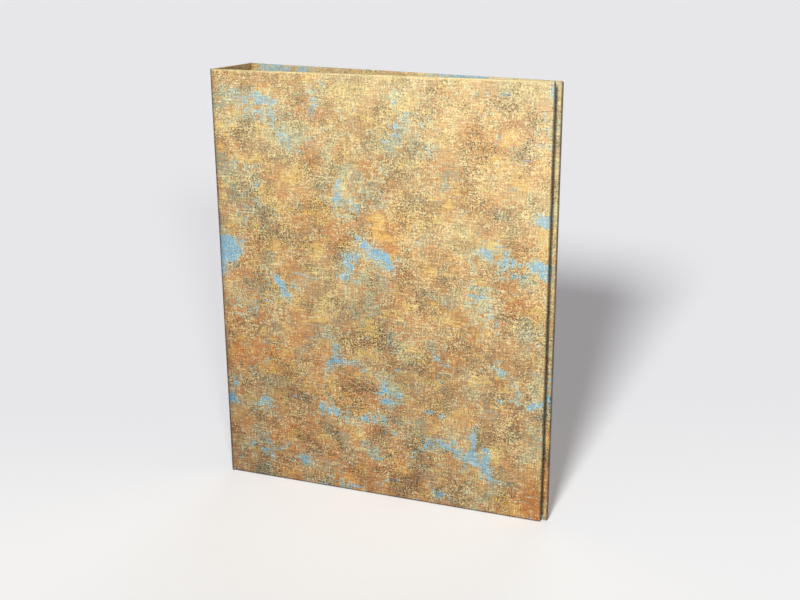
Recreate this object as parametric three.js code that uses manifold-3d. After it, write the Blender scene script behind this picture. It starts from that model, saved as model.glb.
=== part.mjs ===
// Ring binder for A4 sheets: three boards wrapped in a printed covering, joined by two folds of that
// covering, with a four-ring mechanism riveted inside the spine.
//
// Millimetres, +Z up. The binder stands on its lower edges, closed. The spine faces -X, the front
// cover faces -Y and leans in until its fore edge meets the back cover. The origin is the middle of
// the spine panel's lower end face.
import * as THREE from "three";
import { mergeVertices } from "three/addons/utils/BufferGeometryUtils.js";
import Module from "manifold-3d";

const wasm = await Module();
wasm.setup();

// Case
const coverHeight = 320;
const coverWidth = 256; // from the outer corner at the spine to the fore edge
const spineWidth = 49; // outer face to outer face, at the spine
const boardThickness = 2.5; // board with its covering on both sides
const edgeRound = 0.5; // of the covering where it wraps a board's edge
const boardCorner = 1.2; // plan radius at a board's corners
const foldRadius = 1.3; // outside radius of the covering round a closed fold
const foldThickness = 0.7; // covering and lining, glued together
const closedFaceGap = 0.8; // between the covers where they meet at the fore edge
const turnIn = 16; // band of covering that is turned in round the boards
const liningThickness = 0.3;
const liningRecess = 0.5; // step from the turned-in covering down to the board
const fitGap = 0.3; // between pieces that lie against each other
const glueGap = 0.1; // under a lining sheet

// Ring mechanism, measured up from the spine's inner face
const ringCount = 4;
const ringPitch = 80;
const ringInside = 25; // diameter
const wireDiameter = 2.6;
const shieldPastRings = 22.5; // from the outermost rings to the shield's ends
const shieldWidth = 21;
const shieldHeight = 7.8; // at the crown
const shieldSheet = 0.8;
const shoulderHeight = 3.5; // where the straight side walls end and the arch begins
const hookWidth = 1.4; // inside reach of the rolled rim, sheet not counted
const hookLip = 1.9; // height of the rim's upturned lip
const bladeThickness = 1;
const bladeLevel = 2.8; // height of a blade's outer edge, which it turns on
const bladeTilt = 5.5; // degrees below level when closed, and above it when open
const bladeCentreGap = 0.5; // between the two blades along the middle
const bladeEndInset = 14.5; // from the shield's end to the blade's full width
const tabLength = 6; // narrow end of a blade, held by the trigger's fork
const tabWidth = 2.75;
const wireFromEdge = 3.4; // where a ring's centre line lands on its blade
const tenonFromEdge = 2.2;
const tenonDiameter = 1.6;
const slotInnerEdge = 6.2; // half distance between the two slots that a ring passes
const slotSideGap = 0.5;
const tipGap = 0.3; // between the ends of two ring halves
const tongueWidth = 0.9;
const tongueLength = 0.95;

// Triggers
const pinFromEnd = 4.5; // from the shield's end
const pinHeight = 3.1;
const pinDiameter = 1.6;
const hubDiameter = 4;
const triggerWidth = 13;
const triggerReach = 11; // past the pin, along the spine
const triggerRise = 9.5; // above the pin
const forkReach = 5.7;
const forkWidth = 5.2;
const forkOpening = 1.9;
const forkLip = 0.6;
const forkSlotDepth = 3.1;
const forkTilt = 12.6; // degrees, with the rings closed

// Rivets
const rivetFromRing = 25; // from the outermost rings, inward
const rivetShank = 4;
const rivetCollar = 5.2;
const rivetHead = 8.8;
const rivetHeadHeight = 1.2;
const rivetFlare = 6.8;
const rivetFlareHeight = 1.1;
const bladeNotch = 3; // radius of a blade's notch round a rivet

const radians = THREE.MathUtils.degToRad;
const wireRadius = wireDiameter / 2;
const ringRadius = ringInside / 2 + wireRadius; // of the wire's centre line
const halfSpine = spineWidth / 2;
const middle = coverHeight / 2;

// The front cover leans in until its fore edge is closedFaceGap from the back cover's inner face.
const insideDepth = spineWidth - 2 * boardThickness - closedFaceGap;
const closingAngle = Math.asin(insideDepth / coverWidth);

// Distance from the outer corner to where a round of this radius meets the flat faces. With a board's
// thickness as radius it is where the inner faces of two boards meet, so the boards stop short of it.
const reachOf = (radius, lean) => radius * Math.tan((Math.PI / 2 + lean) / 2);
const frontReach = reachOf(boardThickness, closingAngle);
const backReach = reachOf(boardThickness, 0);

const printed = { color: 0xb08a52, roughness: 0.75, metalness: 0 };
const lined = { color: 0xc9a468, roughness: 0.85, metalness: 0 };
const nickel = { color: 0xc4c6c8, roughness: 0.25, metalness: 1 };
const brightNickel = { color: 0xd2d3d4, roughness: 0.15, metalness: 1 };

function piece(name, geometry, finish) {
  const mesh = new THREE.Mesh(geometry, new THREE.MeshStandardMaterial(finish));
  mesh.name = name;
  return mesh;
}

// Booleans: a closed geometry to a solid, and back.
function solid(geometry) {
  const bare = geometry.clone();
  bare.deleteAttribute("normal");
  bare.deleteAttribute("uv");
  const merged = mergeVertices(bare, 1e-4);
  const vertProperties = new Float32Array(merged.attributes.position.array);
  const triVerts = new Uint32Array(merged.index.array);
  return new wasm.Manifold(new wasm.Mesh({ numProp: 3, vertProperties, triVerts }));
}

function geometryOf(body) {
  const mesh = body.getMesh();
  const geometry = new THREE.BufferGeometry();
  const positions = new THREE.BufferAttribute(new Float32Array(mesh.vertProperties), 3);
  geometry.setAttribute("position", positions);
  geometry.setIndex(new THREE.BufferAttribute(new Uint32Array(mesh.triVerts), 1));
  geometry.computeVertexNormals();
  return geometry;
}

// A block between two corners.
function block(low, high) {
  const size = high.map((value, i) => value - low[i]);
  const centre = high.map((value, i) => (value + low[i]) / 2);
  return new THREE.BoxGeometry(...size).translate(...centre);
}

function cylinderAlong(axis, diameter, length, sides = 16) {
  const rod = new THREE.CylinderGeometry(diameter / 2, diameter / 2, length, sides);
  if (axis === "x") rod.rotateZ(Math.PI / 2);
  return rod;
}

// Boards

// A wrapped board standing on its lower edge, from x = start to x = end, its faces at y = 0 and
// y = boardThickness, with the step for the lining cut into the face at the side that inward gives.
function wrappedBoard(start, end, liningStart, liningEnd, inward) {
  const outline = new THREE.Shape();
  const right = end - edgeRound;
  const left = start + edgeRound;
  const top = coverHeight - edgeRound;
  const r = boardCorner;
  outline.moveTo(left, edgeRound);
  outline.lineTo(right - r, edgeRound);
  outline.quadraticCurveTo(right, edgeRound, right, edgeRound + r);
  outline.lineTo(right, top - r);
  outline.quadraticCurveTo(right, top, right - r, top);
  outline.lineTo(left, top);
  outline.closePath();
  const slab = new THREE.ExtrudeGeometry(outline, {
    depth: boardThickness - 2 * edgeRound,
    bevelThickness: edgeRound,
    bevelSize: edgeRound,
    bevelSegments: 3,
    curveSegments: 4,
  });
  slab.rotateX(Math.PI / 2).translate(0, boardThickness - edgeRound, 0);
  const floor = inward > 0 ? boardThickness - liningRecess : -1;
  const step = block(
    [liningStart, floor, turnIn],
    [liningEnd, inward > 0 ? boardThickness + 1 : liningRecess, coverHeight - turnIn],
  );
  return solid(slab).subtract(solid(step));
}

// The sheet that fills that step, glued to the board.
function liningSheet(start, end, inward) {
  const low = inward > 0 ? boardThickness - liningRecess + glueGap : liningRecess - glueGap - liningThickness;
  return block(
    [start + fitGap, low, turnIn + fitGap],
    [end - fitGap, low + liningThickness, coverHeight - turnIn - fitGap],
  );
}

// A cover hangs on a group at its outer corner, where its outer face meets the spine's.
function cover(side, reach, lean) {
  const inward = side === "front" ? 1 : -1;
  const start = reach + fitGap;
  const liningEnd = coverWidth - turnIn;
  const group = new THREE.Group();
  const board = geometryOf(wrappedBoard(start, coverWidth, start - 1, liningEnd, inward));
  const sheet = liningSheet(start, liningEnd, inward);
  group.add(piece(side + "_cover", board, printed));
  group.add(piece(side + "_lining", sheet, lined));
  if (inward < 0) group.children.forEach((mesh) => mesh.geometry.translate(0, -boardThickness, 0));
  group.position.y = -inward * halfSpine;
  group.rotation.z = inward * lean;
  return group;
}

function spine() {
  const group = new THREE.Group();
  const start = -halfSpine + frontReach + fitGap;
  const end = halfSpine - backReach - fitGap;
  const panel = wrappedBoard(start, end, start - 1, end + 1, -1);
  const sheet = solid(liningSheet(start, end, -1));
  const turned = new THREE.Matrix4().makeRotationZ(Math.PI / 2);
  const place = (body) => geometryOf(body).applyMatrix4(turned).translate(boardThickness, 0, 0);
  const bores = rivetHeights().map((height) => {
    const bore = cylinderAlong("y", rivetShank + 2 * fitGap, 4 * boardThickness);
    return solid(bore.translate(0, 0, height));
  });
  const bored = (body) => bores.reduce((rest, bore) => rest.subtract(bore), body);
  group.add(piece("spine_panel", place(bored(panel)), printed));
  group.add(piece("spine_lining", place(bored(sheet)), lined));
  return group;
}

// The covering between two boards: flat past each board's end, and bent round the closed corner.
function fold(side, lean, end) {
  const inward = side === "front" ? 1 : -1;
  const bend = reachOf(foldRadius, lean);
  const centreY = bend - halfSpine;
  const from = Math.PI;
  const to = 1.5 * Math.PI + lean;
  const along = new THREE.Vector2(Math.cos(lean), Math.sin(lean));
  const acrossSheet = new THREE.Vector2(-along.y, along.x).multiplyScalar(foldThickness);
  const outerEnd = new THREE.Vector2(0, -halfSpine).addScaledVector(along, end);
  const innerEnd = outerEnd.clone().add(acrossSheet);
  const section = new THREE.Shape();
  section.moveTo(0, end - halfSpine);
  section.absarc(foldRadius, centreY, foldRadius, from, to, false);
  section.lineTo(outerEnd.x, outerEnd.y);
  section.lineTo(innerEnd.x, innerEnd.y);
  section.absarc(foldRadius, centreY, foldRadius - foldThickness, to, from, true);
  section.lineTo(foldThickness, end - halfSpine);
  section.closePath();
  const strip = new THREE.ExtrudeGeometry(section, {
    depth: coverHeight,
    bevelEnabled: false,
    curveSegments: 5,
  });
  if (inward < 0) strip.rotateX(Math.PI).translate(0, 0, coverHeight);
  return piece(side + "_fold", strip, printed);
}

// Ring mechanism. Its pieces are drawn with x up from the spine's inner face, y across the spine and
// z along it from the middle of the mechanism.

const ringSpan = (ringCount - 1) * ringPitch;
const shieldLength = ringSpan + 2 * shieldPastRings;
const halfShield = shieldLength / 2;
const rivetSpacing = ringSpan - 2 * rivetFromRing;
const ringHeights = Array.from({ length: ringCount }, (_, i) => (i - (ringCount - 1) / 2) * ringPitch);
const bladeEdge = shieldWidth / 2 - shieldSheet - fitGap; // half distance between the blades' outer edges
const bladeWidth = bladeEdge - bladeCentreGap / 2;
const tilt = radians(bladeTilt);
const pinAt = halfShield - pinFromEnd;

function rivetHeights() {
  return [-rivetSpacing / 2, rivetSpacing / 2].map((z) => middle + z);
}

// Where a ring's centre line meets the top of its blade, and the centre of the ring's circle above it.
const bladeTop = bladeThickness / 2 + glueGap;
const footHeight = bladeLevel - wireFromEdge * Math.sin(tilt) + bladeTop * Math.cos(tilt);
const footOffset = bladeEdge - wireFromEdge * Math.cos(tilt) - bladeTop * Math.sin(tilt);
const ringCentre = footHeight + Math.sqrt(ringRadius ** 2 - footOffset ** 2);

// A block or cylinder cut into the shield on both sides, or at both ends.
const bothSides = (geometry) => [geometry, geometry.clone().rotateX(Math.PI)];

function shield() {
  const outer = shieldWidth / 2;
  const inner = outer - shieldSheet;
  const lipOuter = inner - hookWidth + shieldSheet;
  const lipInner = lipOuter - shieldSheet;
  const corner = shieldSheet;
  const section = new THREE.Shape();
  const arch = (half, crown, sweep) => {
    const rise = crown - shoulderHeight;
    const radius = (half ** 2 + rise ** 2) / (2 * rise);
    const angle = Math.atan2(half, radius - rise);
    section.absarc(crown - radius, 0, radius, -sweep * angle, sweep * angle, sweep < 0);
  };
  section.moveTo(hookLip, lipOuter);
  section.lineTo(shieldSheet, lipOuter);
  section.lineTo(shieldSheet, inner);
  section.lineTo(shoulderHeight, inner);
  arch(inner, shieldHeight - shieldSheet, -1);
  section.lineTo(shieldSheet, -inner);
  section.lineTo(shieldSheet, -lipOuter);
  section.lineTo(hookLip, -lipOuter);
  section.lineTo(hookLip, -lipInner);
  section.lineTo(0, -lipInner);
  section.lineTo(0, -outer + corner);
  section.quadraticCurveTo(0, -outer, corner, -outer);
  section.lineTo(shoulderHeight, -outer);
  arch(outer, shieldHeight, 1);
  section.lineTo(corner, outer);
  section.quadraticCurveTo(0, outer, 0, outer - corner);
  section.lineTo(0, lipInner);
  section.lineTo(hookLip, lipInner);
  section.closePath();
  const channel = new THREE.ExtrudeGeometry(section, {
    depth: shieldLength,
    bevelEnabled: false,
    curveSegments: 8,
  });
  channel.translate(0, 0, -halfShield);

  const cuts = [];
  const slotHalf = wireRadius + slotSideGap;
  ringHeights.forEach((z) => {
    const low = [shoulderHeight + glueGap, slotInnerEdge, z - slotHalf];
    const high = [shieldHeight + 1, shieldWidth, z + slotHalf];
    cuts.push(block(low, high), block([low[0], -high[1], low[2]], [high[0], -low[1], high[2]]));
  });
  const mouth = triggerWidth / 2 + 2 * fitGap;
  const mouthStart = pinAt - hubDiameter / 2 - 2 * fitGap;
  const mouthCut = block([hookLip, -mouth, mouthStart], [shieldHeight + 1, mouth, halfShield + 1]);
  const pinBore = cylinderAlong("y", pinDiameter + 2 * fitGap, 2 * shieldWidth, 12);
  pinBore.translate(pinHeight, 0, pinAt);
  const rivetBore = cylinderAlong("x", rivetShank + 2 * fitGap, shieldHeight);
  rivetBore.translate(shieldHeight, 0, rivetSpacing / 2);
  cuts.push(...bothSides(mouthCut), ...bothSides(pinBore), ...bothSides(rivetBore));
  const cut = cuts.reduce((rest, tool) => rest.subtract(solid(tool)), solid(channel));
  return piece("ring_shield", geometryOf(cut), nickel);
}

// A blade drawn flat: x in from its outer edge, y along the spine.
function bladeOutline() {
  const wide = halfShield - bladeEndInset;
  const long = wide + tabLength;
  const shoulder = bladeWidth - tabWidth;
  const outline = new THREE.Shape();
  outline.moveTo(0, -wide);
  outline.lineTo(shoulder, -wide);
  outline.lineTo(shoulder, -long);
  outline.lineTo(bladeWidth, -long);
  const angle = Math.acos(-bladeCentreGap / 2 / bladeNotch);
  [-1, 1].forEach((end) => {
    outline.absarc(bladeEdge, (end * rivetSpacing) / 2, bladeNotch, -angle, angle, true);
  });
  outline.lineTo(bladeWidth, long);
  outline.lineTo(shoulder, long);
  outline.lineTo(shoulder, wide);
  outline.lineTo(0, wide);
  outline.closePath();
  ringHeights.forEach((z) => {
    const hole = new THREE.Path();
    hole.absarc(tenonFromEdge, z, tenonDiameter / 2 + fitGap, 0, 2 * Math.PI, true);
    outline.holes.push(hole);
  });
  return outline;
}

// side is -1 for the blade beside the front cover and 1 for the other.
function blade(name, side) {
  const plate = new THREE.ExtrudeGeometry(bladeOutline(), {
    depth: bladeThickness,
    bevelEnabled: false,
    curveSegments: 6,
  });
  plate.translate(0, 0, -bladeThickness / 2);
  const across = new THREE.Vector3(0, -side, 0);
  const along = new THREE.Vector3(0, 0, 1);
  const up = new THREE.Vector3(-side, 0, 0);
  plate.applyMatrix4(new THREE.Matrix4().makeBasis(across, along, up));
  const mesh = piece(name, plate, nickel);
  mesh.position.set(bladeLevel, side * bladeEdge, 0);
  mesh.rotation.z = -side * tilt;
  return mesh;
}

// The centre line of half a ring, from its tip to its foot, in the plane of the ring.
class RingPath extends THREE.Curve {
  constructor(side, start, end) {
    super();
    Object.assign(this, { side, start, end });
  }
  getPoint(t, target = new THREE.Vector3()) {
    const angle = this.start + t * (this.end - this.start);
    const x = ringCentre + ringRadius * Math.cos(angle);
    return target.set(x, this.side * ringRadius * Math.sin(angle), 0);
  }
}

// Half a ring: bent wire whose foot is cut to lie on its blade, with a tenon through the blade. The
// tips interlock, a tongue on one half in a fork on the other.
function ringHalf(name, side, height) {
  const tongue = side < 0;
  const start = (tongue ? tipGap / 2 - tongueLength : tipGap / 2) / ringRadius;
  const end = Math.atan2(footOffset, footHeight - ringCentre);
  const wireSection = new THREE.Shape().absarc(0, 0, wireRadius, 0, 2 * Math.PI, false);
  const wire = new THREE.ExtrudeGeometry(wireSection, {
    steps: 20,
    curveSegments: 6,
    bevelEnabled: false,
    extrudePath: new RingPath(side, start, end),
  });
  const onBlade = new THREE.Matrix4().makeTranslation(bladeLevel, side * bladeEdge, 0);
  onBlade.multiply(new THREE.Matrix4().makeRotationZ(-side * tilt));
  const below = block([-ringInside, -ringInside, -wireDiameter], [bladeTop, ringInside, wireDiameter]);
  const tenonLength = bladeThickness / 2 + bladeTop + wireRadius / 2;
  const tenon = cylinderAlong("x", tenonDiameter, tenonLength, 12);
  tenon.translate(tenonLength / 2 - bladeThickness / 2, -side * tenonFromEdge, 0);
  let body = solid(wire).subtract(solid(below.applyMatrix4(onBlade)));
  body = body.add(solid(tenon.applyMatrix4(onBlade)));
  const tip = ringCentre + ringRadius;
  const [low, high] = [tip - wireDiameter, tip + wireDiameter];
  if (tongue) {
    const cheek = [
      [low, -tipGap / 2, tongueWidth / 2],
      [high, wireDiameter, wireDiameter],
    ];
    bothSides(block(...cheek)).forEach((cut, i) => {
      const kept = i ? cut.translate(0, wireDiameter - tipGap / 2, 0) : cut;
      body = body.subtract(solid(kept));
    });
  } else {
    const slot = tongueWidth / 2 + tipGap / 2;
    body = body.subtract(solid(block([low, -wireDiameter, -slot], [high, tongueLength + tipGap / 2, slot])));
  }
  return piece(name, geometryOf(body).translate(0, 0, height), brightNickel);
}

// A trigger about its pin: x out past the shield's end, y up from the spine. Its fork holds the
// blades' ends, and its finger lever curves up out of the shield's mouth.
function triggerBody() {
  const extruded = (shape, width) => {
    const depth = { depth: width, bevelEnabled: false, curveSegments: 8 };
    return solid(new THREE.ExtrudeGeometry(shape, depth).translate(0, 0, -width / 2));
  };
  const hub = new THREE.Shape().absarc(0, 0, hubDiameter / 2, 0, 2 * Math.PI, false);
  const bore = new THREE.Shape().absarc(0, 0, pinDiameter / 2 + fitGap, 0, 2 * Math.PI, false);
  const lever = new THREE.Shape();
  const root = hubDiameter * 0.35;
  lever.moveTo(root, -root);
  lever.quadraticCurveTo(triggerReach * 0.75, 0, triggerReach, triggerRise - 0.6);
  lever.quadraticCurveTo(triggerReach, triggerRise + 0.3, triggerReach - 1.2, triggerRise);
  lever.quadraticCurveTo(triggerReach * 0.58, triggerRise * 0.24, -root / 2, hubDiameter / 2 - 0.1);
  lever.closePath();
  const half = forkOpening / 2 + forkLip;
  const fork = block([-forkReach, -half, -forkWidth / 2], [0, half, forkWidth / 2]);
  const opening = block(
    [-forkReach - 1, -forkOpening / 2, -forkWidth],
    [forkSlotDepth - forkReach, forkOpening / 2, forkWidth],
  );
  const tilted = solid(fork).subtract(solid(opening)).rotate([0, 0, forkTilt]);
  let body = extruded(hub, triggerWidth).add(extruded(lever, triggerWidth)).add(tilted);
  body = body.subtract(extruded(bore, 2 * triggerWidth));
  return geometryOf(body);
}

function trigger(name, end) {
  const outward = new THREE.Vector3(0, 0, end);
  const up = new THREE.Vector3(1, 0, 0);
  const across = new THREE.Vector3(0, end, 0);
  const geometry = triggerBody().applyMatrix4(new THREE.Matrix4().makeBasis(outward, up, across));
  return piece(name, geometry.translate(pinHeight, 0, end * pinAt), brightNickel);
}

function triggerPin(name, end) {
  const pin = cylinderAlong("y", pinDiameter, shieldWidth, 12);
  return piece(name, pin.translate(pinHeight, 0, end * pinAt), nickel);
}

// A rivet turned about the x axis: domed head outside the spine, collar under the shield's crown,
// flared end on top of it.
function rivet(name, z) {
  const outside = -boardThickness - glueGap;
  const crown = shieldHeight - shieldSheet - 2 * fitGap;
  const flare = shieldHeight + glueGap;
  const shank = rivetShank / 2;
  const profile = [
    [0, outside - rivetHeadHeight],
    [rivetHead * 0.3, outside - rivetHeadHeight * 0.88],
    [rivetHead * 0.45, outside - rivetHeadHeight * 0.5],
    [rivetHead / 2, outside],
    [shank, outside],
    [shank, glueGap],
    [rivetCollar / 2, glueGap],
    [rivetCollar / 2, crown],
    [shank, crown],
    [shank, flare],
    [rivetFlare / 2, flare],
    [rivetFlare * 0.46, flare + rivetFlareHeight * 0.55],
    [rivetFlare * 0.25, flare + rivetFlareHeight * 0.95],
    [0, flare + rivetFlareHeight],
  ].map(([radius, height]) => new THREE.Vector2(radius, height));
  const turned = new THREE.LatheGeometry(profile, 20).rotateZ(-Math.PI / 2);
  return piece(name, turned.translate(0, 0, z), nickel);
}

const binder = new THREE.Group();
binder.position.x = -boardThickness / 2;
binder.add(spine());
binder.add(fold("front", closingAngle, frontReach));
binder.add(fold("back", 0, backReach));
binder.add(cover("front", frontReach, closingAngle));
binder.add(cover("back", backReach, 0));

const mechanism = new THREE.Group();
mechanism.position.set(boardThickness, 0, middle);
mechanism.add(shield());
mechanism.add(rivet("rivet_lower", -rivetSpacing / 2));
mechanism.add(rivet("rivet_upper", rivetSpacing / 2));
mechanism.add(blade("blade_front", -1));
mechanism.add(blade("blade_back", 1));
ringHeights.forEach((height, i) => {
  mechanism.add(ringHalf(`ring_front_${i + 1}`, -1, height));
  mechanism.add(ringHalf(`ring_back_${i + 1}`, 1, height));
});
mechanism.add(trigger("trigger_lower", -1));
mechanism.add(trigger("trigger_upper", 1));
mechanism.add(triggerPin("trigger_pin_lower", -1));
mechanism.add(triggerPin("trigger_pin_upper", 1));
binder.add(mechanism);

export default binder;
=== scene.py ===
import math

import bmesh
import bpy
from mathutils import Matrix, Vector


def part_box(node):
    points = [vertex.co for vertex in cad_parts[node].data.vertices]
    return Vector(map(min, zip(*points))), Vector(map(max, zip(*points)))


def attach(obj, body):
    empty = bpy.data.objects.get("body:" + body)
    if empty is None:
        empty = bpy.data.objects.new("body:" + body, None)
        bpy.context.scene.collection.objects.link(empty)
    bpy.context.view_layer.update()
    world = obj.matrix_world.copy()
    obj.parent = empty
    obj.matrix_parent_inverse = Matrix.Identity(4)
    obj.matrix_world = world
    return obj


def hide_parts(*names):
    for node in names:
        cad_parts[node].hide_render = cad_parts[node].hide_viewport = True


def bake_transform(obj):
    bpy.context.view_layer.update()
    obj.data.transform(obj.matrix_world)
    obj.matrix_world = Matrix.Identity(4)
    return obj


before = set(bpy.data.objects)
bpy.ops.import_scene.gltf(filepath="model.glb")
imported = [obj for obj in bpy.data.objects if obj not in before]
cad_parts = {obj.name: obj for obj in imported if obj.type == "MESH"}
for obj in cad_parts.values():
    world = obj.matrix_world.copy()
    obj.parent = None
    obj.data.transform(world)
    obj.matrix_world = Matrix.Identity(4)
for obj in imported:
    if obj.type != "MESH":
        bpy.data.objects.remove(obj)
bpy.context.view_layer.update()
mm = 0.001

# The case's sizes, read from the frame at rest
coverLow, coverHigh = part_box("back_cover")
case = {
    "height": coverHigh.z,
    "halfSpine": coverHigh.y,
    "board": coverHigh.y - coverLow.y,
    "outerX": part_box("spine_panel")[0].x,  # outer face of the spine
    "foldRadius": 1.3 * mm,
    "foldSheet": 0.7 * mm,
    "meetGap": 0.8 * mm,  # between the covers at the fore edge
    "turnIn": 16 * mm,
    "overlap": 4 * mm,  # of the lining over the turned-in covering
}
case["width"] = coverHigh.x - case["outerX"]
inside = 2 * case["halfSpine"] - 2 * case["board"] - case["meetGap"]

sides = {}
for side, inward, lean in (("front", 1, math.asin(inside / case["width"])), ("back", -1, 0)):
    half = math.tan((math.pi / 2 + lean) / 2)
    sides[side] = {
        "inward": inward,  # along Y, from the cover's outer face
        "lean": lean,
        "bend": case["foldRadius"] * half,  # from the outer corner to the end of the fold's round
        "reach": case["board"] * half,  # and to the board's end
    }


# Camera

camera = {
    "place": (0.5421, -0.6759, 0.4086),
    "aim": (0.1549, -0.019, 0.1667),
    "roll": math.radians(-0.4),
    "lens": 51.15,  # for a sensor of the width below
    "sensor": 36,
}


def makeCamera():
    data = bpy.data.cameras.new("camera")
    data.lens = camera["lens"]
    data.sensor_width = camera["sensor"]
    data.clip_start = 0.01
    data.clip_end = 20
    eye = bpy.data.objects.new("camera", data)
    bpy.context.scene.collection.objects.link(eye)
    place = Vector(camera["place"])
    turn = (Vector(camera["aim"]) - place).to_track_quat("-Z", "Y").to_matrix().to_4x4()
    eye.matrix_world = Matrix.Translation(place) @ turn @ Matrix.Rotation(camera["roll"], 4, "Z")
    bpy.context.scene.camera = eye
    print("camera ready")


# Shader helpers


def newMaterial(name):
    material = bpy.data.materials.new(name)
    material.use_nodes = True
    nodes = material.node_tree.nodes
    nodes.clear()
    output = nodes.new("ShaderNodeOutputMaterial")
    shader = nodes.new("ShaderNodeBsdfPrincipled")
    material.node_tree.links.new(shader.outputs["BSDF"], output.inputs["Surface"])
    return material, shader


class Wires:
    # Adds nodes to a tree and joins them by value or by socket.

    def __init__(self, tree):
        self.tree = tree

    def put(self, socket, value):
        if isinstance(value, bpy.types.NodeSocket):
            self.tree.links.new(value, socket)
        else:
            socket.default_value = value

    def node(self, kind, **settings):
        made = self.tree.nodes.new(kind)
        for key, value in settings.items():
            setattr(made, key, value)
        return made

    def math(self, operation, a, b=0.0, clamp=False):
        made = self.node("ShaderNodeMath", operation=operation, use_clamp=clamp)
        self.put(made.inputs[0], a)
        self.put(made.inputs[1], b)
        return made.outputs[0]

    def vector(self, operation, a, b=(0, 0, 0)):
        made = self.node("ShaderNodeVectorMath", operation=operation)
        self.put(made.inputs[0], a)
        self.put(made.inputs[1], b)
        return made.outputs[0]

    def scale(self, vector, factor):
        made = self.node("ShaderNodeVectorMath", operation="SCALE")
        self.put(made.inputs[0], vector)
        self.put(made.inputs["Scale"], factor)
        return made.outputs[0]

    def split(self, vector):
        made = self.node("ShaderNodeSeparateXYZ")
        self.put(made.inputs[0], vector)
        return made.outputs

    def noise(self, vector, scale, detail=2.0, rough=0.5, color=False, distortion=0.0):
        made = self.node("ShaderNodeTexNoise", noise_dimensions="3D")
        self.put(made.inputs["Vector"], vector)
        made.inputs["Scale"].default_value = scale
        made.inputs["Detail"].default_value = detail
        made.inputs["Roughness"].default_value = rough
        made.inputs["Distortion"].default_value = distortion
        return made.outputs["Color" if color else "Fac"]

    def step(self, value, low, high):
        made = self.node("ShaderNodeMapRange", interpolation_type="SMOOTHSTEP")
        self.put(made.inputs["Value"], value)
        made.inputs["From Min"].default_value = low
        made.inputs["From Max"].default_value = high
        return made.outputs[0]

    def mix(self, factor, a, b, blend="MIX"):
        made = self.node("ShaderNodeMix", data_type="RGBA", blend_type=blend)
        self.put(made.inputs[0], factor)
        self.put(made.inputs[6], a)
        self.put(made.inputs[7], b)
        return made.outputs[2]

    def bump(self, height, strength, distance):
        made = self.node("ShaderNodeBump")
        made.inputs["Strength"].default_value = strength
        made.inputs["Distance"].default_value = distance
        self.put(made.inputs["Height"], height)
        return made.outputs[0]


def rgb(red, green, blue):
    # 0 to 255 as seen on screen, to the linear values that shaders take
    def linear(value):
        value = value / 255
        return value / 12.92 if value <= 0.04045 else ((value + 0.055) / 1.055) ** 2.4

    return (linear(red), linear(green), linear(blue), 1)


def newGroup(name, inputs, outputs):
    tree = bpy.data.node_groups.new(name, "ShaderNodeTree")
    for socket, (kind, value) in inputs.items():
        made = tree.interface.new_socket(socket, in_out="INPUT", socket_type=kind)
        if value is not None:
            made.default_value = value
    for socket, kind in outputs.items():
        tree.interface.new_socket(socket, in_out="OUTPUT", socket_type=kind)
    start = tree.nodes.new("NodeGroupInput")
    end = tree.nodes.new("NodeGroupOutput")
    return tree, Wires(tree), start.outputs, end.inputs


def useGroup(wires, tree, **values):
    made = wires.node("ShaderNodeGroup", node_tree=tree)
    for key, value in values.items():
        wires.put(made.inputs[key], value)
    return made.outputs


# Shared effects

canvas = {
    "threadPitch": 0.55,  # mm
    "relief": 0.35,
    "reliefDepth": 0.1 * mm,
    "wander": 0.5,  # mm, of the threads to either side
    "stretch": 0.09,  # how much slower an uneven thread changes along itself than across
}


def makeCanvasGroup():
    # Plain weave: threads along and across, each wandering a little. Place is in mm on the flat sheet.
    outputs = {"Height": "NodeSocketFloat", "Across": "NodeSocketFloat", "Along": "NodeSocketFloat"}
    tree, w, start, end = newGroup("canvasWeave", {"Place": ("NodeSocketVector", None)}, outputs)
    drift = w.vector("SUBTRACT", w.noise(start["Place"], 0.35, 2, color=True), (0.5, 0.5, 0.5))
    x, y, _ = w.split(w.vector("ADD", start["Place"], w.scale(drift, canvas["wander"])))
    turns = math.pi / canvas["threadPitch"]
    alongX = w.math("SINE", w.math("MULTIPLY", x, turns))
    alongY = w.math("SINE", w.math("MULTIPLY", y, turns))
    height = w.node("ShaderNodeMix", data_type="FLOAT")
    w.put(height.inputs[0], w.step(w.math("MULTIPLY", alongX, alongY), -0.3, 0.3))
    w.put(height.inputs[2], w.math("ABSOLUTE", alongX))
    w.put(height.inputs[3], w.math("ABSOLUTE", alongY))
    w.put(end["Height"], height.outputs[0])
    # uneven threads, long in one direction
    for name, stretch in (("Across", (canvas["stretch"], 1, 1)), ("Along", (1, canvas["stretch"], 1))):
        w.put(end[name], w.noise(w.vector("MULTIPLY", start["Place"], stretch), 1.0, 2, 0.6))
    return tree


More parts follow.
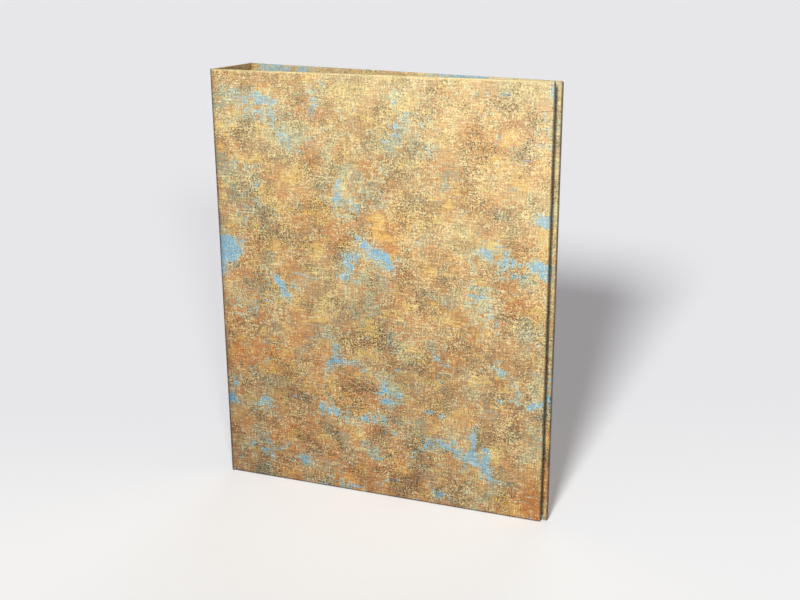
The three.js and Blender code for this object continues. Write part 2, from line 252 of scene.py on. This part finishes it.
def makePatchGroup():
    # A ragged patch mask: large islands broken up along the threads and eaten away by fine grain.
    inputs = {
        "Place": ("NodeSocketVector", None),
        "Across": ("NodeSocketFloat", 0.5),
        "Along": ("NodeSocketFloat", 0.5),
        "Size": ("NodeSocketFloat", 20.0),  # mm
        "Amount": ("NodeSocketFloat", 0.5),
        "Edge": ("NodeSocketFloat", 0.06),
        "Ragged": ("NodeSocketFloat", 0.3),
        "Seed": ("NodeSocketFloat", 0.0),
    }
    tree, w, start, end = newGroup("raggedPatch", inputs, {"Mask": "NodeSocketFloat"})
    offset = w.node("ShaderNodeCombineXYZ")
    w.put(offset.inputs[2], start["Seed"])
    scaled = w.scale(start["Place"], w.math("DIVIDE", 1.0, start["Size"]))
    island = w.noise(w.vector("ADD", scaled, offset.outputs[0]), 1.0, 6, 0.62, distortion=0.35)
    across = w.math("SUBTRACT", start["Across"], 0.5)
    along = w.math("SUBTRACT", start["Along"], 0.5)
    threads = w.math("MULTIPLY", w.math("ADD", across, along), 0.3)
    grain = w.math("SUBTRACT", w.noise(start["Place"], 0.25, 3, 0.6), 0.5)
    broken = w.math("MULTIPLY", w.math("ADD", threads, grain), start["Ragged"])
    value = w.math("ADD", island, broken)
    low = w.math("SUBTRACT", 1.0, start["Amount"])
    shifted = w.math("DIVIDE", w.math("SUBTRACT", value, low), start["Edge"])
    w.put(end["Mask"], w.math("ADD", shifted, 0.5, clamp=True))
    return tree


canvasGroup = makeCanvasGroup()
patchGroup = makePatchGroup()


# The printed covering

printed = {
    "ochre": rgb(226, 158, 78),
    "tan": rgb(206, 150, 90),
    "umber": rgb(140, 114, 82),
    "rust": rgb(218, 127, 36),
    "gold": rgb(254, 204, 84),
    "cream": rgb(248, 230, 168),
    "greyGreen": rgb(146, 172, 150),
    "teal": rgb(176, 214, 202),
    "sky": rgb(118, 194, 234),
    "bleached": rgb(240, 226, 182),
    "dark": rgb(60, 42, 18),
    "pale": rgb(255, 234, 168),
    "depth": 0.437,  # how deep the ink is against the palette
    # how much the painted shade darkens the foot, the fore edges, the folds and the line where the covers
    # meet
    "paintedShade": 0.72,  # how much darker the folds are
}

# How the covering changes over the sheet, in mm of rise: the height above the foot and part of the way out
# from the spine. It grows lighter, paler and yellower towards the head and the fore edge.
gradient = {
    "outward": 0.5,
    "fade": (-60, 480),
    "bleach": (320, 460),
}

# The masks that the print is built from: the size of their islands in mm, how much of the sheet they take,
# how soft and how ragged their edges are, a seed, and how they are squeezed across and along the sheet
patches = {
    "tan": dict(size=30, amount=0.52, edge=0.2, ragged=0.25, seed=3.1),
    "rust": dict(size=26, amount=0.5, edge=0.06, ragged=0.3, seed=7.7),
    "umber": dict(size=40, amount=0.46, edge=0.14, ragged=0.4, seed=12.4),
    "gold": dict(size=20, amount=0.45, edge=0.06, ragged=0.3, seed=17.2, squeeze=(1, 1.4, 1)),
    "rustIslands": dict(size=11, amount=0.41, edge=0.06, ragged=0.35, seed=73.0, squeeze=(1, 1.3, 1)),
    "greyGreen": dict(size=26, amount=0.43, edge=0.08, ragged=0.4, seed=21.9),
    "creamIslands": dict(size=9, amount=0.37, edge=0.06, ragged=0.35, seed=26.3, squeeze=(1, 1.6, 1)),
    "rustFlecks": dict(size=7, amount=0.4, edge=0.05, ragged=0.3, seed=83.0, squeeze=(1, 1.5, 1)),
    "paleFlecks": dict(size=6, amount=0.375, edge=0.05, ragged=0.3, seed=87.0, squeeze=(1, 1.4, 1)),
    "warmth": dict(size=80, amount=0.51, edge=0.3, ragged=0.25, seed=91.0),
    "halo": dict(size=34, amount=0.415, edge=0.08, ragged=0.4, seed=33.8),
    "blue": dict(size=34, amount=0.376, edge=0.035, ragged=0.17, seed=33.8),
    "blueIslands": dict(size=15, amount=0.325, edge=0.04, ragged=0.15, seed=47.1, squeeze=(0.7, 1.5, 1)),
    "peppered": dict(size=24, amount=0.5, edge=0.2, ragged=0.3, seed=41.0),
    "blots": dict(size=6, amount=0.42, edge=0.05, ragged=0.3, seed=97.0),
    "bright": dict(size=22, amount=0.52, edge=0.2, ragged=0.3, seed=58.0),
    "faded": dict(size=60, amount=0.5, edge=0.5, ragged=0.2, seed=52.0),
    "lighter": dict(size=80, amount=0.5, edge=0.4, ragged=0.2, seed=63.0),
}

# Patch, ink and strength, the lowest first
layers = (
    ("rust", "rust", 0.95),
    ("umber", "umber", 0.75),
    ("gold", "gold", 1.0),
    ("rustIslands", "rust", 0.85),
    ("greyGreen", "greyGreen", 0.85),
    ("creamIslands", "cream", 1.0),
    ("rustFlecks", "rust", 0.8),
    ("paleFlecks", "pale", 0.7),
)

grain = {
    "scale": 0.85,  # grains to the mm
    "ragged": 0.35,  # how much a finer noise breaks them up
    "calm": 0.65,  # how much less of it lies on the blue
    "clusters": 0.18,  # how much the clusters add to the dark grains
    "bright": 0.13,  # the bright zones to the pale ones
    "fade": 0.05,  # and the fade to the pale ones
    "pepper": (0.64, 0.73),  # between which noise values the dark grains set in
    "salt": (0.66, 0.75),  # and the pale ones
    "across": (0.6, 0.72),  # and the worn threads
    "along": (0.62, 0.74),
}


class Ink(Wires):
    # Adds what the print shares: its place on the sheet in mm, the weave, ragged patches and tints.

    def __init__(self, tree):
        super().__init__(tree)
        self.place = self.scale(self.node("ShaderNodeUVMap", uv_map="sheet").outputs[0], 1 / mm)
        self.weave = useGroup(self, canvasGroup, Place=self.place)
        self.across, self.up, _ = self.split(self.place)
        self.out = self.math("ABSOLUTE", self.across)  # from the spine's middle line
        self.rise = self.math("ADD", self.math("MULTIPLY", self.out, gradient["outward"]), self.up)
        self.fade = self.step(self.rise, *gradient["fade"])

    def patch(self, name):
        values = dict(patches[name])
        made = useGroup(
            self,
            patchGroup,
            Place=self.vector("MULTIPLY", self.place, values.pop("squeeze", (1, 1, 1))),
            Across=self.weave["Across"],
            Along=self.weave["Along"],
            **{key.capitalize(): value for key, value in values.items()},
        )
        return made["Mask"]

    def tint(self, color, mask, strength, ink):
        return self.mix(self.math("MULTIPLY", mask, strength), color, printed[ink])

    def near(self, value, middle, reach, fall):
        # 1 within reach of the middle, falling to 0 in the next millimetres
        away = self.math("ABSOLUTE", self.math("SUBTRACT", value, middle))
        return self.step(away, reach + fall, reach - 0.2)


def layInks(w):
    color = w.mix(w.patch("tan"), printed["ochre"], printed["tan"])
    for name, ink, strength in layers:
        mask = w.patch(name)
        if name == "gold":
            mask = w.math("MULTIPLY", mask, w.math("ADD", w.fade, 0.55, clamp=True))
        color = w.tint(color, mask, strength, ink)
    color = w.tint(color, w.math("SUBTRACT", 0.75, w.fade, clamp=True), 0.3, "rust")
    color = w.tint(color, w.step(w.rise, *gradient["bleach"]), 0.45, "bleached")
    # wide zones, warmer and cooler
    warmth = w.patch("warmth")
    color = w.tint(color, warmth, 0.4, "rust")
    return w.tint(color, w.math("SUBTRACT", 1.0, warmth), 0.27, "greyGreen")


def addBlue(w, color):
    # Blue shows through in worn places, greener and paler round them.
    halo = w.patch("halo")
    color = w.tint(color, halo, 0.8, "teal")
    blue = w.patch("blue")
    color = w.tint(color, blue, 0.9, "sky")
    return w.tint(color, w.patch("blueIslands"), 0.9, "sky"), halo, blue


def addGrain(w, color, halo, blue):
    # Peppered with dark and pale grains, most of all in clusters, least of all on the blue.
    calm = w.math("SUBTRACT", 1.0, w.math("MULTIPLY", blue, grain["calm"]))
    clusters = w.math("MAXIMUM", w.patch("peppered"), w.math("MULTIPLY", halo, 0.7))
    clusters = w.math("MULTIPLY", clusters, calm)
    color = w.tint(color, w.math("MULTIPLY", clusters, w.patch("blots")), 0.5, "dark")
    finer = w.math("SUBTRACT", w.noise(w.place, 3.2, 2, 0.7), 0.5)
    ragged = w.math("MULTIPLY", finer, grain["ragged"])
    fine = w.math("ADD", w.noise(w.place, grain["scale"], 1, 0.8), ragged)
    pepper = w.math("ADD", w.math("MULTIPLY", clusters, grain["clusters"]), fine)
    color = w.tint(color, w.step(pepper, *grain["pepper"]), 1.0, "dark")
    bright = w.math("MULTIPLY", w.patch("bright"), calm)
    elsewhere = w.vector("ADD", w.place, (0, 0, 55))
    light = w.math("ADD", w.noise(elsewhere, grain["scale"], 1, 0.8), ragged)
    faded = w.math("MULTIPLY", w.fade, grain["fade"])
    more = w.math("ADD", faded, w.math("MULTIPLY", bright, grain["bright"]))
    color = w.tint(color, w.step(w.math("ADD", more, light), *grain["salt"]), 0.85, "pale")
    # single worn threads, and a paler cream bloom in patches towards the head and the fore edge
    across = w.step(w.weave["Across"], *grain["across"])
    along = w.step(w.weave["Along"], *grain["along"])
    worn = w.math("ADD", w.math("MULTIPLY", bright, 0.6), 0.4)
    color = w.tint(color, w.math("MULTIPLY", w.math("MAXIMUM", across, along), worn), 0.4, "pale")
    color = w.tint(color, w.math("MULTIPLY", w.fade, w.patch("faded")), 0.5, "cream")
    return color, fine


def paintedShadeLines(w):
    # Painted shade: the covering is darkened where shade falls, at the foot, on the fore edges, at the bends
    # beside the spine, and as a painted shadow along the line where the front cover lies against the back
    # one.
    edge = case["board"] / mm / 2
    bend = case["halfSpine"] / mm
    foreEdge = bend + case["width"] / mm
    lines = (
        # painted shade along the foot, where the rounded edge faces down and meets the floor
        w.near(w.up, 0.8 - edge, edge, 0.8),  # the foot
        # painted shade on the fore-edge faces, which face away from the light
        w.near(w.out, foreEdge + edge - 0.4, edge + 0.2, 0.8),  # the fore edges
        # painted shadow of the front cover's fore edge on the back cover's inner face
        w.near(w.across, -foreEdge - 2 * edge - 3.6, 0.7, 0.9),  # the line inside the back cover
        # painted shade where the covering bends round the folds away from the light, and a fainter band of
        # it beside them
        w.near(w.out, bend, 1.7, 0.9),  # the bends
        w.math("MULTIPLY", w.near(w.out, bend, 1.5, 5), 0.4),  # and a fainter band round them
    )
    paintedShade = lines[0]
    for line in lines[1:]:
        paintedShade = w.math("MAXIMUM", paintedShade, line)
    return paintedShade


def inkShade(w):
    # How light the ink is: uneven threads, the gradient, wide lighter zones, the weave, and the painted
    # shade at the foot, the fore edges, the folds and the line where the covers meet.
    threads = w.math("ADD", w.weave["Across"], w.math("MULTIPLY", w.weave["Along"], 0.8))
    threads = w.math("MULTIPLY", w.math("SUBTRACT", threads, 0.9), 1.2)
    zones = w.math("ADD", w.math("MULTIPLY", w.fade, 0.6), w.math("MULTIPLY", w.patch("lighter"), 0.22))
    shade = w.math("ADD", w.math("ADD", threads, 0.59), zones)
    relief = w.math("ADD", w.math("MULTIPLY", w.weave["Height"], 0.14), 0.91)
    shade = w.math("MULTIPLY", w.math("MULTIPLY", shade, relief), printed["depth"])
    # the painted shade darkens the ink
    paintedShadeFactor = w.math("SUBTRACT", 1.0, w.math("MULTIPLY", paintedShadeLines(w), printed["paintedShade"]))
    return w.math("MULTIPLY", shade, paintedShadeFactor)


def printedMaterial():
    material, shader = newMaterial("printedCovering")
    w = Ink(material.node_tree)
    color, halo, blue = addBlue(w, layInks(w))
    color, fine = addGrain(w, color, halo, blue)
    # Painted highlight: a paler line along the head, where the boards' top edges catch the light.
    head = w.near(w.up, case["height"] / mm + 0.3, 0.9, 1.1)
    color = w.tint(color, head, 0.6, "pale")
    grey = w.node("ShaderNodeCombineColor")
    shade = inkShade(w)
    for socket in grey.inputs:
        w.put(socket, shade)
    w.put(shader.inputs["Base Color"], w.mix(1.0, color, grey.outputs[0], "MULTIPLY"))
    w.put(shader.inputs["Normal"], w.bump(w.weave["Height"], canvas["relief"], canvas["reliefDepth"]))
    w.put(shader.inputs["Roughness"], w.math("ADD", w.math("MULTIPLY", fine, 0.2), 0.5))
    shader.inputs["Specular IOR Level"].default_value = 0.35
    return material


lining = {
    "paper": rgb(168, 132, 86),
    "shade": rgb(152, 117, 74),
    "fibre": rgb(122, 92, 58),
    "light": rgb(190, 156, 110),
}


def liningMaterial():
    # Plain laid paper: faint clouds, short fibres and a fine tooth.
    material, shader = newMaterial("liningPaper")
    w = Wires(material.node_tree)
    place = w.scale(w.node("ShaderNodeUVMap", uv_map="sheet").outputs[0], 1 / mm)
    cloud = w.noise(place, 0.02, 5, 0.6)
    dark = w.noise(w.vector("MULTIPLY", place, (1.2, 0.25, 1.0)), 1.1, 2, 0.6, distortion=0.8)
    light = w.noise(w.vector("MULTIPLY", place, (0.3, 1.1, 1.0)), 1.0, 2, 0.6, distortion=0.8)
    tooth = w.noise(place, 2.4, 3, 0.7)
    color = w.mix(w.step(cloud, 0.25, 0.8), lining["paper"], lining["shade"])
    color = w.mix(w.math("MULTIPLY", w.step(dark, 0.6, 0.7), 0.3), color, lining["fibre"])
    color = w.mix(w.math("MULTIPLY", w.step(light, 0.6, 0.7), 0.3), color, lining["light"])
    color = w.mix(w.math("MULTIPLY", tooth, 0.2), color, lining["fibre"])
    w.put(shader.inputs["Base Color"], color)
    w.put(shader.inputs["Normal"], w.bump(w.math("ADD", tooth, dark), 0.2, 0.05 * mm))
    w.put(shader.inputs["Roughness"], w.math("ADD", w.math("MULTIPLY", tooth, 0.2), 0.68))
    shader.inputs["Specular IOR Level"].default_value = 0.3
    return material


def metalMaterial(name, color, rough, brush):
    # Plated steel, drawn lengthwise, with a thin haze
    material, shader = newMaterial(name)
    w = Wires(material.node_tree)
    place = w.node("ShaderNodeTexCoord").outputs["Object"]
    drawn = w.noise(w.vector("MULTIPLY", place, (1.0, 1.0, 0.03)), 2600, 3, 0.6)
    haze = w.step(w.noise(place, 90, 4, 0.6), 0.35, 0.7)
    dull = [0.9 * c for c in color[:3]] + [1]
    w.put(shader.inputs["Base Color"], w.mix(haze, color, dull))
    w.put(shader.inputs["Roughness"], w.math("ADD", w.math("MULTIPLY", drawn, brush), rough))
    shader.inputs["Metallic"].default_value = 1
    w.put(shader.inputs["Normal"], w.bump(drawn, 0.08, 0.02 * mm))
    return material


# Mesh helpers


def meshObject(name, vertices, faces, uvs, material, matrix=None):
    mesh = bpy.data.meshes.new(name)
    mesh.from_pydata([tuple(v) for v in vertices], [], faces)
    layer = mesh.uv_layers.new(name="sheet")
    for polygon, corners in zip(mesh.polygons, uvs):
        polygon.use_smooth = True
        for index, uv in zip(polygon.loop_indices, corners):
            layer.data[index].uv = uv
    if matrix:
        mesh.transform(matrix)
    mesh.set_sharp_from_angle(angle=math.radians(50))
    mesh.materials.append(material)
    piece = bpy.data.objects.new(name, mesh)
    bpy.context.scene.collection.objects.link(piece)
    return piece


def lineEnds(piece, count, paper):
    # A board's ends beside the folds, its last faces, are lined like the inside of the folds.
    piece.data.materials.append(paper)
    for polygon in list(piece.data.polygons)[-count:]:
        polygon.material_index = 1
    return piece


wrap = {
    "round": 0.65 * mm,  # of the covering at the board's edges
    "steps": 5,
    "lip": 0.3 * mm,  # from the turned-in covering down to the board
    "loops": (6 * mm, 2.2 * mm),  # in from the edge, for even shading
    "corner": 1.6 * mm,  # radius of the covers' outer corners
    "tight": 0.25 * mm,  # and the least radius of a loop further in
}


def boardSection():
    # (inset from the edge, depth from the outer face, length along the covering) round a wrapped edge
    r = wrap["round"]
    thick = case["board"]
    turnIn = case["turnIn"]
    points = [(turnIn, 0.0)]
    points += [(inset, 0.0) for inset in wrap["loops"]]
    for corner in (0, 1):
        for i in range(wrap["steps"] + 1):
            angle = math.pi / 2 * i / wrap["steps"]
            if corner == 0:
                points.append((r - r * math.sin(angle), r - r * math.cos(angle)))
            else:
                points.append((r - r * math.cos(angle), thick - r + r * math.sin(angle)))
    points += [(inset, thick) for inset in reversed(wrap["loops"])]
    points += [(turnIn - 0.3 * mm, thick), (turnIn, thick - 0.12 * mm)]
    points.append((turnIn + 0.1 * mm, thick - wrap["lip"]))
    along = [0.0]
    for (x0, y0), (x1, y1) in zip(points, points[1:]):
        along.append(along[-1] + math.hypot(x1 - x0, y1 - y0))
    return [(x, y, s - turnIn) for (x, y), s in zip(points, along)]


# How many spans a loop of a cover has along the foot and the head, up the fore edge and round each corner
loop = {"columns": 12, "rows": 14, "corner": 4}


def coverLoop(inset, start, corner=0.0):
    # One loop of a cover at an inset, from the hinge along the foot, round the fore edge and back.
    radius = max(corner - inset, wrap["tight"])
    right = case["width"] - inset
    top = case["height"] - inset
    columns = loop["columns"]
    rows = loop["rows"]
    angles = [math.pi / 2 * i / loop["corner"] for i in range(loop["corner"] + 1)]
    points = [(start + (right - radius - start) * i / columns, inset) for i in range(columns)]
    for angle in angles:
        points.append((right - radius + radius * math.sin(angle), inset + radius - radius * math.cos(angle)))
    span = top - inset - 2 * radius
    points += [(right, inset + radius + span * i / rows) for i in range(1, rows)]
    for angle in angles:
        points.append((right - radius + radius * math.cos(angle), top - radius + radius * math.sin(angle)))
    points += [(right - radius + (start - right + radius) * i / columns, top) for i in range(1, columns + 1)]
    return points


def coverPlace(own):
    # From a cover's own place, x out from the spine's corner and y in from its outer face, to the scene's.
    turn = Matrix.Rotation(own["inward"] * own["lean"], 4, "Z")
    return Matrix.Translation((case["outerX"], -own["inward"] * case["halfSpine"], 0)) @ turn


def spineEnds():
    # Where the spine's board and lining end along Y, beside the front fold and the back one
    return -case["halfSpine"] + sides["front"]["reach"], case["halfSpine"] - sides["back"]["reach"]


def band(rings, count):
    # Faces between loops that are open at the hinge, and the face that closes them there
    faces = []
    for ring in range(rings - 1):
        for point in range(count - 1):
            a = ring * count + point
            faces.append([a, a + 1, a + 1 + count, a + count])
    out = [ring * count for ring in range(rings)]
    back = [ring * count + count - 1 for ring in reversed(range(rings))]
    return faces, out + back


def coverPiece(name, side, material, paper):
    # A board wrapped in covering.
    own = sides[side]
    inward = own["inward"]
    section = boardSection()
    rings = [coverLoop(inset, own["reach"], wrap["corner"]) for inset, _, _ in section]
    count = len(rings[0])
    vertices = [Vector((x, inward * y, z)) for ring, (_, y, _) in zip(rings, section) for x, z in ring]
    footEnd = loop["columns"] + loop["corner"] // 2
    foreEnd = footEnd + loop["corner"] + loop["rows"] - 1

    def flat(index, part):
        ring, point = divmod(index, count)
        x, z = rings[ring][point]
        over = section[ring][2]
        if part < footEnd:
            return (x, -over)
        if part < foreEnd:
            return (case["width"] + over, z)
        return (x, case["height"] + over)

    faces, hinge = band(len(section), count)
    uvs = [[flat(i, face[0] % count) for i in face] for face in faces]
    last = (len(section) - 1) * count
    for face in (list(range(count))[::-1], [last + i for i in range(count)]):
        faces.append(face)
        uvs.append([(vertices[i].x, vertices[i].z) for i in face])
    faces.append(hinge)
    uvs.append([(vertices[i].x - abs(vertices[i].y), vertices[i].z) for i in hinge])
    if inward > 0:
        faces = [f[::-1] for f in faces]
        uvs = [u[::-1] for u in uvs]
    uvs = [[(inward * (u + case["halfSpine"]), v) for u, v in face] for face in uvs]
    return lineEnds(meshObject(name, vertices, faces, uvs, material, coverPlace(own)), 1, paper)


def spinePiece(name, material, paper):
    section = boardSection()
    foot = [(y, d, -s) for d, y, s in section]
    head = [(y, case["height"] - d, case["height"] + s) for d, y, s in section]
    outline = foot[::-1] + head
    count = len(outline)
    low, high = spineEnds()
    strip = 2 * mm  # beside each fold, for even shading
    columns = [low, low + strip, 0.0, high - strip, high]
    vertices = [Vector((case["outerX"] + x, y, z)) for y in columns for x, z, _ in outline]
    faces = []
    uvs = []
    for column in range(len(columns) - 1):
        a = column * count
        for i in range(a, a + count - 1):
            face = [i + 1, i + count + 1, i + count, i]
            faces.append(face)
            uvs.append([(-columns[c // count], outline[c % count][2]) for c in face])
        back = [a + count, a + 2 * count - 1, a + count - 1, a]
        faces.append(back)
        uvs.append([(-columns[c // count], outline[c % count][1]) for c in back])
    last = (len(columns) - 1) * count
    for end, cap in ((low, list(range(count))[::-1]), (high, [last + i for i in range(count)])):
        faces.append(cap)
        uvs.append([(-end + vertices[c].x, vertices[c].z) for c in cap])
    return lineEnds(meshObject(name, vertices, faces, uvs, material), 2, paper)


def foldPiece(name, side, material, paper):
    # The covering between two boards: flat past each board's end, bent round the closed corner. Its
    # inside is lined between the turned-in ends.
    own = sides[side]
    inward = own["inward"]
    reach = own["reach"]
    bend = own["bend"]
    lean = own["lean"]
    turn = math.pi / 2 + lean
    steps = 8
    flats = 2
    rows = 24
    bare = case["turnIn"] - case["overlap"]
    heights = [bare + (case["height"] - 2 * bare) * k / rows for k in range(rows + 1)]
    heights = [0.0] + heights + [case["height"]]
    radius = case["foldRadius"]
    along = Vector((math.cos(lean), inward * math.sin(lean)))
    corner = Vector((case["outerX"], -inward * case["halfSpine"]))
    centre = corner + Vector((radius, inward * bend))
    outline = []
    for depth in (0.0, case["foldSheet"]):
        path = []
        for i in range(flats):
            away = reach + (bend - reach) * i / flats
            path.append((corner.x + depth, corner.y + inward * away, -away))
        for i in range(steps + 1):
            angle = math.pi + inward * turn * i / steps
            r = radius - depth
            spot = (centre.x + r * math.cos(angle), centre.y + r * math.sin(angle))
            path.append((*spot, bend * (2 * i / steps - 1)))
        inside = Vector((-along.y, along.x)) * inward * depth
        for i in range(1, flats + 1):
            away = bend + (reach - bend) * i / flats
            path.append((*(corner + along * away + inside), away))
        outline += path if depth == 0 else path[::-1]
    count = len(outline)
    vertices = [Vector((x, y, z)) for z in heights for x, y, _ in outline]
    faces = []
    uvs = []
    lined = []

    def flat(index):
        k, i = divmod(index, count)
        return (inward * (case["halfSpine"] + outline[i][2]), heights[k])

    for k in range(len(heights) - 1):
        for i in range(count):
            if 0 < k < len(heights) - 2 and count // 2 <= i < count - 1:
                lined.append(len(faces))
            j = (i + 1) % count
            corners = [k * count + i, k * count + j, (k + 1) * count + j, (k + 1) * count + i]
            faces.append(corners)
            uvs.append([flat(c) for c in corners])
    for k in (0, len(heights) - 1):
        cap = [k * count + i for i in range(count)]
        cap = cap[::-1] if k == 0 else cap
        faces.append(cap)
        uvs.append([flat(c) for c in cap])
    if inward < 0:
        faces = [f[::-1] for f in faces]
        uvs = [u[::-1] for u in uvs]
    piece = meshObject(name, vertices, faces, uvs, material)
    piece.data.materials.append(paper)
    for face in lined:
        piece.data.polygons[face].material_index = 1
    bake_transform(piece)
    return piece


liningSheet = {
    "thick": 0.22 * mm,
    "glue": 0.01 * mm,
    "slope": 1.2 * mm,  # past the turned-in covering, where it lies on the board again
}


def liningSection():
    # (inset from the edge, depth from the board's outer face) of a lining: from its underside in the middle,
    # over the step of the turned-in covering to its edge, and back on top
    turnIn = case["turnIn"]
    inset = turnIn - case["overlap"]
    under = case["board"] + liningSheet["glue"]
    top = case["board"] + liningSheet["thick"]
    middle = turnIn + liningSheet["slope"]
    return [
        (middle, under - wrap["lip"]),
        (turnIn + 0.2 * mm, under),
        (inset, under),
        (inset, case["board"] + 0.7 * liningSheet["thick"]),
        (inset + 0.15 * mm, top),
        (turnIn - 0.6 * mm, top),
        (turnIn + 0.2 * mm, top - 0.1 * mm),
        (middle, top - wrap["lip"]),
    ]


def liningPiece(name, side, material):
    # Sheet glued over the board's inner face and the edges of the turned-in covering.
    own = sides[side]
    section = liningSection()
    rings = [coverLoop(inset, own["reach"]) for inset, _ in section]
    count = len(rings[0])
    vertices = [Vector((x, own["inward"] * y, z)) for ring, (_, y) in zip(rings, section) for x, z in ring]
    faces, hinge = band(len(section), count)
    last = (len(section) - 1) * count
    faces += [[last + i for i in range(count)], list(range(count))[::-1], hinge]
    if own["inward"] > 0:
        faces = [f[::-1] for f in faces]
    uvs = [[(vertices[c].x, vertices[c].z) for c in face] for face in faces]
    return meshObject(name, vertices, faces, uvs, material, coverPlace(own))


def spineLining(name, material):
    half = [(case["outerX"] + depth, inset) for inset, depth in liningSection()]
    outline = half + [(x, case["height"] - z) for x, z in reversed(half)]
    count = len(outline)
    vertices = [Vector((x, y, z)) for y in spineEnds() for x, z in outline]
    faces = [[i + count, i + 1 + count, i + 1, i] for i in range(count - 1)]
    faces.append([2 * count - 1, count, 0, count - 1])
    faces.append(list(range(count)))
    faces.append([count + i for i in range(count)][::-1])
    uvs = [[(vertices[c].y, vertices[c].z) for c in face] for face in faces]
    return meshObject(name, vertices, faces, uvs, material)


def finishNode(name, material, bevel=0.0):
    # A frame node keeps its mesh: smooth shading and a fine bevel are added as modifiers.
    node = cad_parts[name]
    node.data.materials.clear()
    node.data.materials.append(material)
    with bpy.context.temp_override(object=node, active_object=node, selected_objects=[node]):
        if node.data.has_custom_normals:
            bpy.ops.mesh.customdata_custom_splitnormals_clear()
    for polygon in node.data.polygons:
        polygon.use_smooth = True
    weld = node.modifiers.new("weld", "WELD")
    weld.merge_threshold = 0.002 * mm
    if bevel:
        rounding = node.modifiers.new("rounding", "BEVEL")
        rounding.width = bevel
        rounding.segments = 2
        rounding.limit_method = "ANGLE"
        rounding.angle_limit = math.radians(50)
    split = node.modifiers.new("split", "EDGE_SPLIT")
    split.split_angle = math.radians(40)


# Stage and light

# The floor is painted darker behind the object: painted shade standing in for a backdrop that curves up and
# gets less light.
studio = {
    "near": rgb(253, 255, 255),  # the floor in front of the object
    "far": rgb(243, 245, 248),  # and behind it
    "front": (0.508, -0.862, 0),  # level, towards the camera
    "blend": (-0.15, 0.2),  # how far in front the floor changes from far to near
    "ambient": 0.19,  # strength of the surroundings as light
    "warmth": (1.07, 0.975, 0.98, 1),  # and their colour
    "seen": 0.8,  # their strength where they are seen or mirrored
}


def makeStage():
    material, shader = newMaterial("paleFloor")
    w = Wires(material.node_tree)
    place = w.node("ShaderNodeTexCoord").outputs["Object"]
    ahead = w.node("ShaderNodeVectorMath", operation="DOT_PRODUCT")
    w.put(ahead.inputs[0], place)
    w.put(ahead.inputs[1], studio["front"])
    # painted shade: the floor darkens from near to far
    near = w.step(ahead.outputs["Value"], *studio["blend"])
    w.put(shader.inputs["Base Color"], w.mix(near, studio["far"], studio["near"]))
    shader.inputs["Roughness"].default_value = 0.9
    shader.inputs["Specular IOR Level"].default_value = 0
    mesh = bpy.data.meshes.new("floor")
    form = bmesh.new()
    bmesh.ops.create_circle(form, cap_ends=True, segments=96, radius=14)
    form.to_mesh(mesh)
    form.free()
    mesh.materials.append(material)
    floor = bpy.data.objects.new("floor", mesh)
    bpy.context.scene.collection.objects.link(floor)


# Each lamp's compass turn from the front (-Y) towards +X and height above the floor, in degrees, its
# softness in degrees and its strength
lamps = {
    "key": {"turn": 11, "rise": 25.5, "soft": 10.5, "strength": 3.9},
    "fill": {"turn": 43, "rise": 16.5, "soft": 6, "strength": 1.0},
    "rear": {"turn": 195, "rise": 8, "soft": 45, "strength": 1.2},
}


def makeLights():
    for name, lamp in lamps.items():
        turn = math.radians(lamp["turn"])
        rise = math.radians(lamp["rise"])
        out = Vector((math.sin(turn) * math.cos(rise), -math.cos(turn) * math.cos(rise), math.sin(rise)))
        data = bpy.data.lights.new(name, "SUN")
        data.angle = math.radians(lamp["soft"])
        data.energy = lamp["strength"]
        light = bpy.data.objects.new(name, data)
        light.location = out * 4
        light.rotation_euler = (-out).to_track_quat("-Z", "Y").to_euler()
        bpy.context.scene.collection.objects.link(light)
    world = bpy.data.worlds.new("studio")
    world.use_nodes = True
    w = Wires(world.node_tree)
    rays = w.node("ShaderNodeLightPath").outputs
    seen = w.math("MAXIMUM", rays["Is Camera Ray"], rays["Is Glossy Ray"])
    seen = w.math("MAXIMUM", seen, rays["Is Transmission Ray"])
    span = studio["seen"] - studio["ambient"]
    back = world.node_tree.nodes["Background"]
    w.put(back.inputs["Color"], w.mix(seen, studio["warmth"], (1, 1, 1, 1)))
    w.put(back.inputs["Strength"], w.math("ADD", w.math("MULTIPLY", seen, span), studio["ambient"]))
    bpy.context.scene.world = world
    bpy.context.scene.view_settings.view_transform = "Standard"


makeCamera()
covering = printedMaterial()
liner = liningMaterial()
nickel = metalMaterial("satinNickel", (0.68, 0.68, 0.67, 1), 0.2, 0.16)
bright = metalMaterial("brightNickel", (0.76, 0.76, 0.75, 1), 0.1, 0.1)
print("materials ready")

for side in ("front", "back"):
    board = coverPiece(side + "Board", side, covering, liner)
    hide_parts(side + "_cover")
    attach(board, side + "_cover")
    sheet = liningPiece(side + "Lining", side, liner)
    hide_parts(side + "_lining")
    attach(sheet, side + "_cover")
    fold = foldPiece(side + "Fold", side, covering, liner)
    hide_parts(side + "_fold")
spineBoard = spinePiece("spineBoard", covering, liner)
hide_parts("spine_panel")
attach(spineBoard, "spine")
spineSheet = spineLining("spineLining", liner)
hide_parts("spine_lining")
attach(spineSheet, "spine")
print("case ready")

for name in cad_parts:
    if name.startswith(("ring_shield", "blade", "trigger_pin", "rivet")):
        finishNode(name, nickel)
    elif name.startswith(("ring_front", "ring_back", "trigger")):
        finishNode(name, bright, 0.12 * mm)
print("mechanism ready")

makeStage()
makeLights()
print("light ready")
